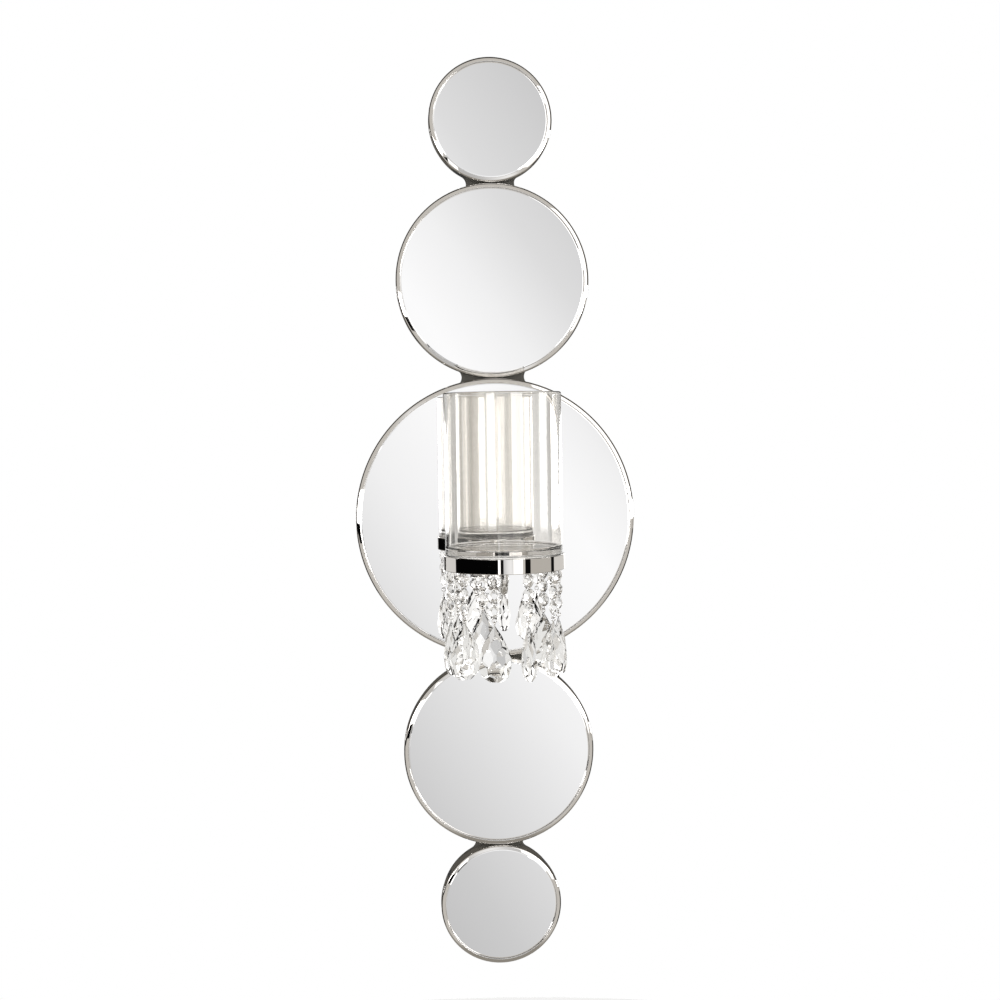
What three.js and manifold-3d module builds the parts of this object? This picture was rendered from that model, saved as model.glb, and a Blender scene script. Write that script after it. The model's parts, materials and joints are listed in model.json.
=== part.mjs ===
// Wall sconce candle holder: a column of five round mirrors on one back board,
// with a seeded glass cup in a chrome pan on an arm, and crystal strands hanging under the pan.
// Millimetres, +Z up, the wall is the plane y = 0 and the front faces -Y.
// The large mirror is centred on x = 0, z = 0.
import * as THREE from "three";
import { mergeVertices } from "three/addons/utils/BufferGeometryUtils.js";
import Module from "manifold-3d";

const wasm = await Module();
wasm.setup();

// Mirrors and their chrome bands, from the top of the column to the bottom
const smallDiameter = 111;
const mediumDiameter = 174.6;
const largeDiameter = 254;
const bandGap = 0.6;
const bandDepth = 11.7;
const bandWall = 1.5;
const lipWidth = 4;
const lipThickness = 1.5;
const edgeRound = 1;
const mirrorThickness = 4;
const mirrorBevelWidth = 3.4;
const mirrorBevelDepth = 0.5;
const backerInset = 4;

// Back board
const boardThickness = 12;
const boardInset = 1.5;
const neckFillet = 8;

// Clearances
const restGap = 0.3;
const glassClearance = 0.3;
const boreClearance = 0.5;
const screwClearance = 0.3;

// Glass cup
const glassDiameter = 99;
const glassWall = 3;
const glassBase = 10;
const glassHeight = 140;
const glassBottom = -27.9;

// Pan that holds the glass
const panWall = 1.4;
const panFloor = 1.5;
const panHeight = 12.7;
const panSkirt = 6.5;
const panReach = 120;
const panScrewRadius = 1.5;
const panScrewLength = 12;
const panScrewHeadRadius = 3;

// Arm, its flange under the pan, and its fastening through the large mirror
const armRadius = 3.2;
const armDrop = 27;
const armBendRadius = 12;
const flangeRadius = 14;
const flangeThickness = 3;
const threadRadius = 2.5;
const threadEnd = 1.5;
const rosetteRadius = 11;
const rosetteThickness = 5;
const rosetteEdge = 1.5;
const washerRim = 4;
const washerThickness = 1.4;
const nutWall = 2.2;
const nutThickness = 3.6;
const nutPocketMargin = 2;

// Keyhole hanger plates let into the back of the board
const hangerSpacing = 90;
const hangerRise = 14;
const hangerWidth = 20;
const hangerLength = 44;
const hangerThickness = 1.5;
const hangerHeadRadius = 4.8;
const hangerSlotRadius = 2.4;
const hangerSlotTravel = 11;
const hangerPocketDepth = 8;
const hangerScrewInset = 6;
const hangerScrewRadius = 1.6;
const hangerScrewHeadRadius = 3;
const hangerScrewLength = 8;

// Crystal strands
const strandPitch = 36;
const strandPhase = -15;
const strandInset = 4.1;
const strandPlaces = [0, 1, 2, 3, 4, 6, 7, 8, 9];
const edgeOnPlaces = [1, 2, 4, 7, 9];
const edgeOnTurn = 75;
const eyeRadius = 1.9;
const eyeWire = 0.6;
const linkRadius = 1.8;
const linkWire = 0.5;
const ringOverlap = 0.7;
const beadCount = 3;
const beadWidth = 11.6;
const beadGap = 0.7;
const beadThickness = 6.4;
const beadTable = 0.56;
const beadGirdle = 1.4;
const beadPin = 0.5;
const dropHeight = 47;
const dropWidth = 28.5;
const dropThickness = 13;

// Facets round each piece
const largeSides = 60;
const mediumSides = 48;
const smallSides = 40;
const cupSides = 48;
const turnedSides = 20;
const rodSides = 12;
const screwSides = 8;
const wireSides = 4;
const ringSides = 8;
const armSteps = 24;
const arcStepDegrees = 9;
const dropSides = 8;

// Depths in front of the wall, and heights, that several pieces share
const bandBack = boardThickness + restGap;
const bandFront = bandBack + bandDepth;
const mirrorFront = bandFront - lipThickness - restGap;
const mirrorBack = mirrorFront - mirrorThickness;
const panFloorTop = glassBottom - restGap;
const panFloorBottom = panFloorTop - panFloor;
const panRadius = glassDiameter / 2 + glassClearance + panWall;
const strandRadius = panRadius - panWall - strandInset;
const beadPitch = beadWidth + beadGap;
const washerRadius = threadRadius + washerRim;
const nutRadius = threadRadius + nutWall;
const nutPocketRadius = washerRadius + nutPocketMargin;
const armTop = panFloorBottom - restGap;
const armHeight = armTop - armDrop;

const discs = [
  { place: "top", size: "small", diameter: smallDiameter, sides: smallSides },
  { place: "upper", size: "medium", diameter: mediumDiameter, sides: mediumSides },
  { place: "centre", size: "large", diameter: largeDiameter, sides: largeSides },
  { place: "lower", size: "medium", diameter: mediumDiameter, sides: mediumSides },
  { place: "bottom", size: "small", diameter: smallDiameter, sides: smallSides },
];
const upperHeight = (largeDiameter + mediumDiameter) / 2 + bandGap;
const topHeight = upperHeight + (mediumDiameter + smallDiameter) / 2 + bandGap;
const discHeights = [topHeight, upperHeight, 0, -upperHeight, -topHeight];
discs.forEach((disc, i) => {
  disc.height = discHeights[i];
});

const chrome = new THREE.MeshStandardMaterial({ color: 0xd6d4d0, roughness: 0.08, metalness: 1 });
const silvered = new THREE.MeshStandardMaterial({ color: 0xe4e6ea, roughness: 0.02, metalness: 1 });
const clearGlass = new THREE.MeshStandardMaterial({ color: 0xf2f5f3, roughness: 0.03, metalness: 0 });
const crystal = new THREE.MeshStandardMaterial({ color: 0xeeeeea, roughness: 0.02, metalness: 0 });
const paintedBoard = new THREE.MeshStandardMaterial({ color: 0x504c4a, roughness: 0.6, metalness: 0 });
const fibreboard = new THREE.MeshStandardMaterial({ color: 0x9c8468, roughness: 0.8, metalness: 0 });
const zincSteel = new THREE.MeshStandardMaterial({ color: 0xa9aaa8, roughness: 0.35, metalness: 1 });

const sconce = new THREE.Group();

function addPart(name, geometry, material, parent = sconce) {
  const mesh = new THREE.Mesh(geometry, material);
  mesh.name = name;
  parent.add(mesh);
  return mesh;
}

// Solids: a geometry's vertices are merged so that manifold-3d can join and cut it
function toSolid(geometry) {
  const bare = geometry.index ? geometry.toNonIndexed() : geometry.clone();
  bare.deleteAttribute("normal");
  bare.deleteAttribute("uv");
  const merged = mergeVertices(bare, 1e-4);
  return new wasm.Manifold(new wasm.Mesh({
    numProp: 3,
    vertProperties: new Float32Array(merged.attributes.position.array),
    triVerts: new Uint32Array(merged.index.array),
  }));
}

function toGeometry(solid) {
  const mesh = solid.getMesh();
  const geometry = new THREE.BufferGeometry();
  geometry.setAttribute("position", new THREE.BufferAttribute(mesh.vertProperties, 3));
  geometry.setIndex(new THREE.BufferAttribute(mesh.triVerts, 1));
  const flat = geometry.toNonIndexed();
  flat.computeVertexNormals();
  return flat;
}

function join(...geometries) {
  return toGeometry(geometries.map(toSolid).reduce((whole, piece) => whole.add(piece)));
}

function cut(geometry, ...cutters) {
  return toGeometry(cutters.map(toSolid).reduce((whole, piece) => whole.subtract(piece), toSolid(geometry)));
}

// A turned piece. Its profile is a list of [radius, height] points, run anticlockwise.
function turned(points, sides = turnedSides) {
  const profile = points.map(([radius, height]) => new THREE.Vector2(radius, height));
  return new THREE.LatheGeometry(profile, sides);
}

function ringProfile(points) {
  return [...points, points[0]];
}

// The same piece with its axis upright, or pointing out of the wall
const upright = (geometry) => geometry.rotateX(Math.PI / 2);
const outward = (geometry) => geometry.rotateX(Math.PI);

// A plain disc or rod along Y between two depths in front of the wall
function disc(radius, back, front, sides = turnedSides) {
  return outward(turned([[0, back], [radius, back], [radius, front], [0, front]], sides));
}

function rod(radius, bottom, top, sides = turnedSides) {
  return upright(turned([[0, bottom], [radius, bottom], [radius, top], [0, top]], sides));
}

// A wire ring whose plane holds the Z axis and X, centred at the origin
function wireRing(radius, wire) {
  return new THREE.TorusGeometry(radius, wire, wireSides, ringSides).rotateX(Math.PI / 2);
}

// --- Mirrors ------------------------------------------------------------------------------------

function bandGeometry(radius, sides) {
  const inner = radius - bandWall;
  return outward(turned(ringProfile([
    [inner, bandBack],
    [radius, bandBack],
    [radius, bandFront - edgeRound],
    [radius - edgeRound, bandFront],
    [radius - lipWidth, bandFront],
    [radius - lipWidth, bandFront - lipThickness],
    [inner, bandFront - lipThickness],
  ]), sides));
}

function mirrorGeometry(radius, sides) {
  const edge = radius - bandWall - restGap;
  return outward(turned([
    [0, mirrorBack],
    [edge, mirrorBack],
    [edge, mirrorFront - mirrorBevelDepth],
    [edge - mirrorBevelWidth, mirrorFront],
    [0, mirrorFront],
  ], sides));
}

function backerGeometry(radius, sides) {
  const edge = radius - bandWall - backerInset;
  return disc(edge, boardThickness + restGap, mirrorBack - restGap, sides);
}

const armHole = threadRadius + boreClearance;

function drilled(geometry) {
  const drill = disc(armHole, -restGap, bandFront + restGap).translate(0, 0, armHeight);
  return cut(geometry, drill);
}

for (const { place, diameter, sides, height } of discs) {
  const radius = diameter / 2;
  const band = bandGeometry(radius, sides);
  let mirror = mirrorGeometry(radius, sides);
  let backer = backerGeometry(radius, Math.round(sides / 2));
  if (place === "centre") {
    mirror = drilled(mirror);
    backer = drilled(backer);
  }
  addPart(`mirror_band_${place}`, band, chrome).position.z = height;
  addPart(`mirror_${place}`, mirror, silvered).position.z = height;
  addPart(`mirror_backer_${place}`, backer, fibreboard).position.z = height;
}

// --- Back board -------------------------------------------------------------------------------

// Centre of the fillet that joins two neighbouring discs of the board, on the +X side
function filletCentre(upper, lower) {
  const upperArm = upper.radius + neckFillet;
  const lowerArm = lower.radius + neckFillet;
  const apart = upper.height - lower.height;
  const down = (apart ** 2 + upperArm ** 2 - lowerArm ** 2) / (2 * apart);
  return new THREE.Vector2(Math.sqrt(upperArm ** 2 - down ** 2), upper.height - down);
}

// Points of an arc, without its last one
function arcPoints(centre, radius, from, to) {
  const step = THREE.MathUtils.degToRad(arcStepDegrees);
  const count = Math.max(2, Math.ceil(Math.abs(to - from) / step));
  return Array.from({ length: count }, (_, i) => {
    const angle = from + (to - from) * (i / count);
    return new THREE.Vector2(centre.x + radius * Math.cos(angle), centre.y + radius * Math.sin(angle));
  });
}

function boardOutline() {
  const rounds = discs.map(({ diameter, height }) => ({ radius: diameter / 2 - boardInset, height }));
  const fillets = rounds.slice(1).map((lower, i) => filletCentre(rounds[i], lower));
  const side = [];
  rounds.forEach(({ radius, height }, i) => {
    const centre = new THREE.Vector2(0, height);
    const towards = (point) => Math.atan2(point.y - centre.y, point.x - centre.x);
    const from = i === 0 ? Math.PI / 2 : towards(fillets[i - 1]);
    const to = i === rounds.length - 1 ? -Math.PI / 2 : towards(fillets[i]);
    side.push(...arcPoints(centre, radius, from, to));
    if (i < fillets.length) {
      const next = rounds[i + 1];
      const start = to + Math.PI;
      const end = Math.atan2(next.height - fillets[i].y, -fillets[i].x) + 2 * Math.PI;
      side.push(...arcPoints(fillets[i], neckFillet, start, end));
    }
  });
  const last = rounds[rounds.length - 1];
  const bottom = new THREE.Vector2(0, last.height - last.radius);
  const mirrored = side.slice(1).reverse().map(({ x, y }) => new THREE.Vector2(-x, y));
  return new THREE.Shape([...side, bottom, ...mirrored]);
}

// A box let into the board from its back face
function backPocket(width, length, depth, x, z) {
  const box = new THREE.BoxGeometry(width, depth + restGap, length);
  return box.translate(x, (restGap - depth) / 2, z);
}

const hangerHeight = upperHeight + hangerRise;
const hangerPlaces = [
  { side: "left", x: -hangerSpacing / 2 },
  { side: "right", x: hangerSpacing / 2 },
];
const hangerScrewHeights = [hangerLength / 2 - hangerScrewInset, hangerScrewInset - hangerLength / 2];

function hangerPockets({ x }) {
  const margin = restGap;
  const clear = hangerHeadRadius + boreClearance;
  const plate = backPocket(
    hangerWidth + 2 * margin, hangerLength + 2 * margin, hangerThickness + margin, x, hangerHeight);
  const room = backPocket(
    2 * clear, hangerSlotTravel + 2 * clear, hangerPocketDepth, x, hangerHeight);
  const holes = hangerScrewHeights.map((rise) =>
    disc(hangerScrewRadius + screwClearance, 0, hangerScrewLength + screwClearance, screwSides)
      .translate(x, 0, hangerHeight + rise));
  return [plate, room, ...holes];
}

const board = new THREE.ExtrudeGeometry(boardOutline(), { depth: boardThickness, bevelEnabled: false });
board.rotateX(Math.PI / 2);
const nutPocketDepth = threadEnd + nutThickness + washerThickness + restGap;
const nutPocket = disc(nutPocketRadius, -restGap, nutPocketDepth).translate(0, 0, armHeight);
const boardCuts = [nutPocket, ...hangerPlaces.flatMap(hangerPockets)];
addPart("back_board", cut(drilled(board), ...boardCuts), paintedBoard);

// --- Keyhole hangers -----------------------------------------------------------------------------

function hangerPlateGeometry() {
  const plate = new THREE.BoxGeometry(hangerWidth, hangerThickness, hangerLength);
  plate.translate(0, -hangerThickness / 2, 0);
  const through = [-restGap, hangerThickness + restGap];
  const low = -hangerSlotTravel / 2;
  const entry = disc(hangerHeadRadius, ...through).translate(0, 0, low);
  const rest = disc(hangerSlotRadius, ...through, rodSides).translate(0, 0, -low);
  const slot = new THREE.BoxGeometry(2 * hangerSlotRadius, 4 * hangerThickness, hangerSlotTravel);
  const sinks = hangerScrewHeights.map((rise) => outward(turned([
    [0, -restGap],
    [hangerScrewHeadRadius + screwClearance + restGap, -restGap],
    [hangerScrewRadius + screwClearance, hangerThickness],
    [hangerScrewRadius + screwClearance, hangerThickness + restGap],
    [0, hangerThickness + restGap],
  ], screwSides)).translate(0, 0, rise));
  return cut(plate, entry, rest, slot, ...sinks);
}

function hangerScrewGeometry() {
  return outward(turned([
    [0, 0],
    [hangerScrewHeadRadius, 0],
    [hangerScrewRadius, hangerThickness],
    [hangerScrewRadius, hangerScrewLength - hangerScrewRadius],
    [0, hangerScrewLength],
  ], screwSides));
}

for (const { side, x } of hangerPlaces) {
  addPart(`hanger_plate_${side}`, hangerPlateGeometry(), zincSteel).position.set(x, 0, hangerHeight);
  hangerScrewHeights.forEach((rise, i) => {
    const name = `hanger_screw_${side}_${i === 0 ? "upper" : "lower"}`;
    addPart(name, hangerScrewGeometry(), zincSteel).position.set(x, 0, hangerHeight + rise);
  });
}

// --- Arm -------------------------------------------------------------------------------------

function armPath() {
  const foot = new THREE.Vector3(0, -mirrorFront - restGap, armHeight);
  const corner = new THREE.Vector3(0, -panReach, armHeight);
  const top = new THREE.Vector3(0, -panReach, armTop - flangeThickness / 2);
  const bendIn = corner.clone().setY(corner.y + armBendRadius);
  const bendOut = corner.clone().setZ(corner.z + armBendRadius);
  const bendSteps = 8;
  const path = new THREE.CurvePath();
  path.add(new THREE.LineCurve3(foot, bendIn));
  let from = bendIn;
  for (let i = 1; i <= bendSteps; i += 1) {
    const angle = (i / bendSteps) * Math.PI / 2;
    const to = new THREE.Vector3(
      0,
      bendIn.y - armBendRadius * Math.sin(angle),
      bendOut.z - armBendRadius * Math.cos(angle),
    );
    path.add(new THREE.LineCurve3(from, to));
    from = to;
  }
  path.add(new THREE.LineCurve3(from, top));
  return path;
}

function roundSection(radius, sides) {
  const corners = Array.from({ length: sides }, (_, i) => {
    const angle = (i / sides) * 2 * Math.PI;
    return new THREE.Vector2(radius * Math.cos(angle), radius * Math.sin(angle));
  });
  return new THREE.Shape(corners);
}

function armGeometry() {
  const bar = new THREE.ExtrudeGeometry(roundSection(armRadius, rodSides), {
    extrudePath: armPath(), steps: armSteps, bevelEnabled: false });
  const flange = rod(flangeRadius, armTop - flangeThickness, armTop).translate(0, -panReach, 0);
  const thread = disc(threadRadius, threadEnd, mirrorFront + 2, rodSides).translate(0, 0, armHeight);
  const tapped = rod(panScrewRadius + screwClearance, armTop - panScrewLength, armTop + restGap, rodSides)
    .translate(0, -panReach, 0);
  return cut(join(bar, flange, thread), tapped);
}
addPart("arm", armGeometry(), chrome);

const rosetteBack = mirrorFront + restGap;
const armHoleOverBar = armRadius + boreClearance;
addPart("arm_rosette", outward(turned(ringProfile([
  [armHoleOverBar, rosetteBack],
  [rosetteRadius, rosetteBack],
  [rosetteRadius, rosetteBack + rosetteEdge],
  [rosetteRadius * 0.7, rosetteBack + rosetteThickness * 0.75],
  [armHoleOverBar + 1, rosetteBack + rosetteThickness],
  [armHoleOverBar, rosetteBack + rosetteThickness],
]), 2 * rodSides)), chrome).position.z = armHeight;

const washerFront = nutPocketDepth - restGap;
addPart("arm_washer", outward(turned(ringProfile([
  [armHole, washerFront - washerThickness],
  [washerRadius, washerFront - washerThickness],
  [washerRadius, washerFront],
  [armHole, washerFront],
]))), zincSteel).position.z = armHeight;

const nutFront = washerFront - washerThickness - restGap;
const nutBore = disc(threadRadius + screwClearance, -restGap, washerFront, rodSides);
const nutBlank = disc(nutRadius, nutFront - nutThickness, nutFront, 6);
addPart("arm_nut", cut(nutBlank, nutBore), zincSteel).position.z = armHeight;

// --- Pan and glass -------------------------------------------------------------------------------

const cup = new THREE.Group();
cup.position.y = -panReach;
sconce.add(cup);

function panGeometry() {
  const inner = panRadius - panWall;
  const bottom = panFloorBottom - panSkirt;
  const top = bottom + panHeight;
  const shell = upright(turned([
    [0, panFloorBottom],
    [inner, panFloorBottom],
    [inner, bottom],
    [panRadius, bottom],
    [panRadius, top],
    [inner, top],
    [inner, panFloorTop],
    [0, panFloorTop],
  ], cupSides));
  const sink = upright(turned([
    [0, panFloorBottom - restGap],
    [panScrewRadius + screwClearance, panFloorBottom - restGap],
    [panScrewRadius + screwClearance, panFloorBottom],
    [panScrewHeadRadius + screwClearance, panFloorTop],
    [panScrewHeadRadius + screwClearance, panFloorTop + restGap],
    [0, panFloorTop + restGap],
  ], turnedSides));
  return cut(shell, sink);
}
addPart("glass_pan", panGeometry(), chrome, cup);

addPart("pan_screw", upright(turned([
  [0, armTop - panScrewLength + 2 * screwClearance],
  [panScrewRadius, armTop - panScrewLength + 2 * screwClearance],
  [panScrewRadius, panFloorBottom],
  [panScrewHeadRadius, panFloorTop],
  [0, panFloorTop],
], rodSides)), zincSteel, cup);

const glassRadius = glassDiameter / 2;
const glassTop = glassBottom + glassHeight;
addPart("glass_cup", upright(turned([
  [0, glassBottom],
  [glassRadius - edgeRound, glassBottom],
  [glassRadius, glassBottom + edgeRound],
  [glassRadius, glassTop - edgeRound],
  [glassRadius - glassWall / 2, glassTop],
  [glassRadius - glassWall, glassTop - edgeRound],
  [glassRadius - glassWall, glassBottom + glassBase],
  [0, glassBottom + glassBase],
], cupSides)), clearGlass, cup);

// --- Crystal strands -------------------------------------------------------------------------------

// Heights under the pan: each ring hangs on the wire of the one above
const wireGap = restGap;
const eyeHeight = panFloorBottom - restGap - eyeRadius - eyeWire;
const swingHeight = eyeHeight - eyeRadius;
const linkHeight = swingHeight + eyeWire + wireGap + linkWire - linkRadius;
const firstBead = linkHeight - linkRadius - linkWire + ringOverlap - beadWidth / 2;
const lastBead = firstBead - (beadCount - 1) * beadPitch;
const tailHeight = lastBead - beadWidth / 2 + ringOverlap - linkRadius - linkWire;
const dropSwingHeight = tailHeight - linkRadius;
const dropRingHeight = dropSwingHeight + 2 * linkWire + wireGap - linkRadius;
const dropTop = dropRingHeight - linkRadius - linkWire + ringOverlap;

// An eight-sided bead, its broad faces looking along Y
function beadGeometry() {
  const corner = beadWidth / 2 / Math.cos(Math.PI / 8);
  const bead = turned([
    [0, -beadThickness / 2],
    [corner * beadTable, -beadThickness / 2],
    [corner, -beadGirdle / 2],
    [corner, beadGirdle / 2],
    [corner * beadTable, beadThickness / 2],
    [0, beadThickness / 2],
  ], 8);
  return bead.rotateY(Math.PI / 8);
}

// The pear outline of a drop, as half widths down its height
function dropGeometry() {
  const steps = [
    [0, 0],
    [0.09, 0.01],
    [0.3, 0.16],
    [0.66, 0.36],
    [0.97, 0.58],
    [1, 0.68],
    [0.84, 0.84],
    [0.5, 0.96],
    [0, 1],
  ];
  const profile = steps.map(([half, down]) => [half * dropWidth / 2, (1 - down) * dropHeight]).reverse();
  const drop = upright(turned(profile, dropSides));
  return drop.scale(1, dropThickness / dropWidth, 1).translate(0, 0, dropTop - dropHeight);
}

function beadChainGeometry() {
  const pieces = [wireRing(linkRadius, linkWire).rotateZ(Math.PI / 2).translate(0, 0, linkHeight)];
  for (let i = 0; i < beadCount; i += 1) {
    const height = firstBead - i * beadPitch;
    pieces.push(beadGeometry().translate(0, 0, height));
    if (i > 0) {
      const reach = beadPitch / 2 - beadWidth / 2 + beadPin;
      pieces.push(rod(beadPin, -reach, reach, wireSides).translate(0, 0, height + beadPitch / 2));
    }
  }
  pieces.push(wireRing(linkRadius, linkWire).translate(0, 0, tailHeight));
  return join(...pieces);
}

function hangingDropGeometry(turn) {
  const drop = dropGeometry().rotateZ(THREE.MathUtils.degToRad(turn));
  const ring = wireRing(linkRadius, linkWire).rotateZ(Math.PI / 2).translate(0, 0, dropRingHeight);
  return join(drop, ring);
}

strandPlaces.forEach((place, i) => {
  const strand = new THREE.Group();
  const angle = THREE.MathUtils.degToRad(strandPhase + place * strandPitch);
  strand.position.set(strandRadius * Math.sin(angle), -strandRadius * Math.cos(angle), 0);
  strand.rotation.z = angle;
  cup.add(strand);
  const number = i + 1;
  const eye = wireRing(eyeRadius, eyeWire).translate(0, 0, eyeHeight);
  addPart(`strand_eye_${number}`, eye, chrome, strand);
  addPart(`bead_chain_${number}`, beadChainGeometry(), crystal, strand);
  const turn = edgeOnPlaces.includes(place) ? edgeOnTurn : 0;
  addPart(`crystal_drop_${number}`, hangingDropGeometry(turn), crystal, strand);
});

export default sconce;
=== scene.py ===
import json
import math
import random

import bmesh
import bpy
from mathutils import Matrix, Vector


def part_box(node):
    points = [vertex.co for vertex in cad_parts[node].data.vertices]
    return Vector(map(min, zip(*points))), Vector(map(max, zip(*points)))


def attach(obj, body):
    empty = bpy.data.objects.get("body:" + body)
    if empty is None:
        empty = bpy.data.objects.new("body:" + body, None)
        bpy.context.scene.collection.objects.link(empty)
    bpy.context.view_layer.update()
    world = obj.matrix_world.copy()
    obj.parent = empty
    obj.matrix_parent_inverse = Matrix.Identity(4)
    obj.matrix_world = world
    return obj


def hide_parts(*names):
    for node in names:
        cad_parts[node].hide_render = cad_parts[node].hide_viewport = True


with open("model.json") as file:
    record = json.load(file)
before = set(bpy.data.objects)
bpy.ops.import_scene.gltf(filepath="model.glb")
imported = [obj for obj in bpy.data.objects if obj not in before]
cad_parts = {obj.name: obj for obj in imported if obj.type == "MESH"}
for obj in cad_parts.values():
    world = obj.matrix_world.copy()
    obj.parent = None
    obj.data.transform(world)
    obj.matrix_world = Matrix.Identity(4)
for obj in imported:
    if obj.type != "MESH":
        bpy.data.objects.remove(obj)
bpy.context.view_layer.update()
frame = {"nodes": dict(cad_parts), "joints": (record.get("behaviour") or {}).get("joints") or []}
mm = 0.001  # the pieces are made in millimetres and scaled to metres when they are finished
discPlaces = ["top", "upper", "centre", "lower", "bottom"]
strandCount = sum(name.startswith("bead_chain_") for name in frame["nodes"])


# Camera: in front of the wall, left of the middle and a little above it

camera = {
    "place": (-0.085, -1.3, 0.088),
    "yaw": math.radians(3.984),
    "pitch": math.radians(3.207),
    "roll": math.radians(-0.82),
    "lens": 50.68,
    "sensor": 36,
}


def makeCamera():
    lens = bpy.data.cameras.new("camera")
    lens.sensor_width = camera["sensor"]
    lens.lens = camera["lens"]
    viewer = bpy.data.objects.new("camera", lens)
    bpy.context.collection.objects.link(viewer)
    level = Matrix.Rotation(math.pi / 2 - camera["pitch"], 4, "X")
    turn = Matrix.Rotation(-camera["yaw"], 4, "Z")
    roll = Matrix.Rotation(camera["roll"], 4, "Z")
    viewer.matrix_world = Matrix.Translation(camera["place"]) @ turn @ level @ roll
    bpy.context.scene.camera = viewer


makeCamera()
print("camera made")


# Shader nodes


class Wire:  # a socket that takes part in sums: each operator adds a Math node
    def __init__(self, tree, socket):
        self.tree = tree
        self.socket = socket

    def __add__(self, other):
        return self.tree.sum("ADD", self, other)

    def __radd__(self, other):
        return self.tree.sum("ADD", other, self)

    def __sub__(self, other):
        return self.tree.sum("SUBTRACT", self, other)

    def __rsub__(self, other):
        return self.tree.sum("SUBTRACT", other, self)

    def __mul__(self, other):
        return self.tree.sum("MULTIPLY", self, other)

    def __rmul__(self, other):
        return self.tree.sum("MULTIPLY", other, self)


class Nodes:  # a node tree, and the one way in which nodes join it
    def __init__(self, tree):
        self.tree = tree

    def add(self, kind, settings={}, values={}, output=0):
        node = self.tree.nodes.new(kind)
        for name, value in settings.items():
            if name == "stops":
                self.setStops(node.color_ramp, value)
            else:
                setattr(node, name, value)
        for name, value in values.items():
            if isinstance(value, Wire):
                self.tree.links.new(value.socket, node.inputs[name])
            else:
                node.inputs[name].default_value = value
        return Wire(self, node.outputs[output]) if node.outputs else None

    def setStops(self, ramp, stops):
        while len(ramp.elements) < len(stops):
            ramp.elements.new(0.5)
        for element, (place, colour) in zip(ramp.elements, stops):
            element.position = place
            element.color = (*colour, 1)

    def sum(self, operation, first, second=0.0):
        return self.add("ShaderNodeMath", {"operation": operation}, {0: first, 1: second})

    def smooth(self, value, low, high):  # 0 below low, 1 above high
        settings = {"interpolation_type": "SMOOTHSTEP"}
        return self.add("ShaderNodeMapRange", settings, {0: value, 1: low, 2: high})

    def window(self, value, low, high, edge):  # 1 between low and high
        rise = self.smooth(value, low - edge / 2, low + edge / 2)
        fall = self.smooth(value, high - edge / 2, high + edge / 2)
        return rise * (1 - fall)

    def mix(self, factor, first, second):
        settings = {"data_type": "RGBA"}
        return self.add("ShaderNodeMix", settings, {0: factor, 6: first, 7: second}, 2)

    def noise(self, scale, detail=3.0, stretch=(1, 1, 1)):
        place = self.add("ShaderNodeTexCoord", output=3)
        spread = self.add("ShaderNodeMapping", {}, {"Vector": place, "Scale": stretch})
        return self.add("ShaderNodeTexNoise", {}, {"Vector": spread, "Scale": scale, "Detail": detail})

    def bump(self, height, distance, strength=1.0):
        values = {"Height": height, "Distance": distance, "Strength": strength}
        return self.add("ShaderNodeBump", {}, values)


def grey(level, warmth=0.0):  # a colour of a display level, a little warmer than neutral
    linear = level ** 2.2
    return (linear * (1 + warmth), linear, linear * (1 - 1.6 * warmth), 1)


# Studio: the room that the chrome, the mirrors and the crystals show

studio = {
    "front": 4.02,  # azimuth and elevation of the brightest line of the front card, in degrees
    "rise": -0.06,
    "across": 0.815,
    "up": 0.579,
    "cardReach": (-14.0, 10.0),
    "card": [
        (0.0, 0.765),
        (0.1, 0.805),
        (0.25, 0.89),
        (0.37, 0.955),
        (0.5, 0.99),
        (0.585, 1.0),
        (0.69, 0.955),
        (0.8, 0.872),
        (0.96, 0.8),
    ],
    "beltRange": (-8.8, -4.55),  # elevations of the dark and pale things round the room
    "beltEdge": 0.3,
    "belt": [  # azimuths, display level and warmth
        (-180, -150, 0.25, 0.0),
        (-150, -108, 0.86, 0.02),
        (-108, -15.5, 0.05, 0.0),
        (-11.2, -5.4, 0.12, 0.02),
        (35.5, 46.5, 0.08, 0.0),
        (46.5, 95, 0.73, 0.05),
        (95, 104, 0.1, 0.0),
        (104, 150, 0.84, 0.03),
        (150, 180, 0.3, 0.0),
    ],
    "besideFrom": (13.0, 20.0),
    "aboveFrom": (17.0, 23.0),
    "belowFrom": (24.0, 29.0),
    "beside": (0.79, 0.04),  # display level and warmth
    "surroundFrom": (56.0, 70.0),
    "surroundTo": (112.0, 140.0),
    "surround": (0.22, 0.12),
    "behind": (0.34, 0.08),
    "boxes": [  # azimuths, elevations and strength of the softboxes
        (13, 35.5, -4.4, 2.4, 7),
        (13, 35.5, 2.4, 26, 1.8),
        (13, 31, -8.8, -4.4, 1.4),
        (-15.3, -11.2, -12, 8, 1.8),
        (-34, -18, -4.4, 2.4, 8),
        (72, 92, -4.4, 2.4, 6),
        (-106, -98, -4.4, 2.4, 6),
    ],
    "patchEdge": 0.7,
    "boxEdges": (0.8, 0.6),
    "boxTint": (1, 0.99, 0.975),
    "ceilingFrom": (50, 54),
    "ceiling": (0.24, 0.1),
    "ground": (0.56, 0.07),
    "groundFrom": (-40, -34),
    "throughGlass": 0.7,  # how much of the light below replaces the room for rays that went through glass
    "throughFront": (1.12, 1.115, 1.1, 1),
    "throughAbove": (2.6, 2.57, 2.52, 1),
    "throughRise": (8, 30),
}


def card(tree, azimuth, elevation):
    low, high = studio["cardReach"]
    sideways = (azimuth - studio["front"]) * studio["across"]
    reach = sideways + (elevation - studio["rise"]) * studio["up"]
    place = (reach - low) * (1 / (high - low))
    stops = [(at, grey(level)[:3]) for at, level in studio["card"]]
    return tree.add("ShaderNodeValToRGB", {"stops": stops}, {0: place})


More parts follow.
